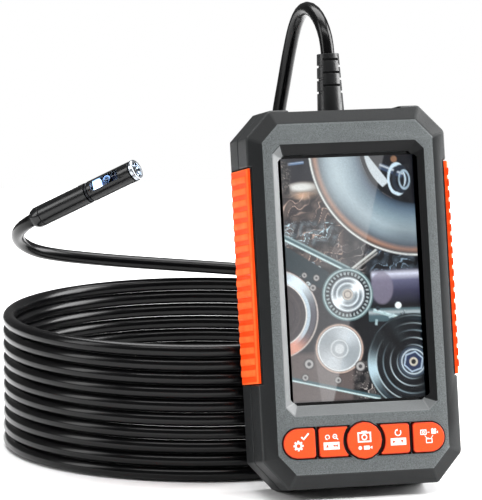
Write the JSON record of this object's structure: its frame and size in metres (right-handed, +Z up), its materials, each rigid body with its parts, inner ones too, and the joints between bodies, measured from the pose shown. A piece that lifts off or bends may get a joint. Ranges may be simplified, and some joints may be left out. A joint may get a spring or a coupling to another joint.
{
  "type": "inspection camera",
  "caption": "Hand-held inspection camera: rugged screen unit with side grips and a key row, leaning back on its heel, with a coiled semi-rigid cable and a slim dual-lens probe.",
  "frame": {"origin": "middle of the level heel under the screen unit, on the surface that it stands on", "axes": "+Z up, -Y the way the screen faces (the unit leans back 12 degrees), +X to the right of someone who faces the screen"},
  "size_m": [0.1634, 0.2057, 0.1863],
  "materials": {
    "case_plastic": "fine-grained moulded dark grey",
    "grip_rubber": "ribbed orange soft-touch",
    "key_rubber": "satin orange with white symbols",
    "black_rubber": "satin black",
    "window_clear": "polished",
    "display_glass": "display panel behind glass",
    "dark_plastic": "moulded",
    "circuit_board": "solder-masked board",
    "steel": "machined",
    "brass": "turned",
    "battery_wrap": "shrink-wrapped",
    "gloss_black": "polished black",
    "cable_jacket": "smooth glossy jacket",
    "lens_glass": "coated lens",
    "lamp": "white phosphor"
  },
  "bodies": {
    "unit": {"front_shell": "case_plastic", "rear_shell": "case_plastic", "top_plate": "case_plastic", "bottom_plate": "case_plastic", "battery_cover": "case_plastic", "left_grip": "grip_rubber", "right_grip": "grip_rubber", "window_gasket": "black_rubber", "strain_relief": "black_rubber", "screen_window": "window_clear", "lcd_panel": "display_glass", "lcd_frame": "dark_plastic", "key_board": "circuit_board", "main_board": "circuit_board", "side_board": "circuit_board", "usb_port": "steel", "card_socket": "steel", "battery_pack": "battery_wrap", "battery_cover_screw": "steel", "gland_body": "brass", "gland_nut": "brass", "probe_cap": "gloss_black", "probe_barrel": "gloss_black", "probe_head": "gloss_black", "probe_ring": "steel", "probe_bezel": "steel", "side_window": "window_clear", "front_window": "window_clear", "side_led": "lamp", "led_board": "lamp", "side_lens": "lens_glass", "front_lens": "lens_glass", "cable_loop": "cable_jacket", "cable_coil": "cable_jacket", "cable_tail": "cable_jacket", "switch_settings": "dark_plastic", "switch_zoom": "dark_plastic", "switch_capture": "dark_plastic", "switch_rotate": "dark_plastic", "switch_gallery": "dark_plastic", "case_screw_1": "steel", "case_screw_2": "steel", "case_screw_3": "steel", "case_screw_4": "steel", "board_screw_1": "steel", "board_screw_2": "steel"},
    "key_settings": {"button_settings": "key_rubber"},
    "key_zoom": {"button_zoom": "key_rubber"},
    "key_capture": {"button_capture": "key_rubber"},
    "key_rotate": {"button_rotate": "key_rubber"},
    "key_gallery": {"button_gallery": "key_rubber"},
    "port_flap": {"port_cover": "black_rubber"}
  },
  "joints": [
    {"name": "press_settings", "type": "slide", "parent": "unit", "child": "key_settings", "axis": [0, 0.9781, -0.2079], "range_m": [0, 0.0007], "stiffness_N_per_m": 600},
    {"name": "press_zoom", "type": "slide", "parent": "unit", "child": "key_zoom", "axis": [0, 0.9781, -0.2079], "range_m": [0, 0.0007], "stiffness_N_per_m": 600},
    {"name": "press_capture", "type": "slide", "parent": "unit", "child": "key_capture", "axis": [0, 0.9781, -0.2079], "range_m": [0, 0.0007], "stiffness_N_per_m": 600},
    {"name": "press_rotate", "type": "slide", "parent": "unit", "child": "key_rotate", "axis": [0, 0.9781, -0.2079], "range_m": [0, 0.0007], "stiffness_N_per_m": 600},
    {"name": "press_gallery", "type": "slide", "parent": "unit", "child": "key_gallery", "axis": [0, 0.9781, -0.2079], "range_m": [0, 0.0007], "stiffness_N_per_m": 600},
    {"name": "port_cover_hinge", "type": "hinge", "parent": "unit", "child": "port_flap", "pos_m": [0.0403, 0.00249, 0.02614], "axis": [0, 0.2079, 0.9781], "range_deg": [0, 110]}
  ]
}
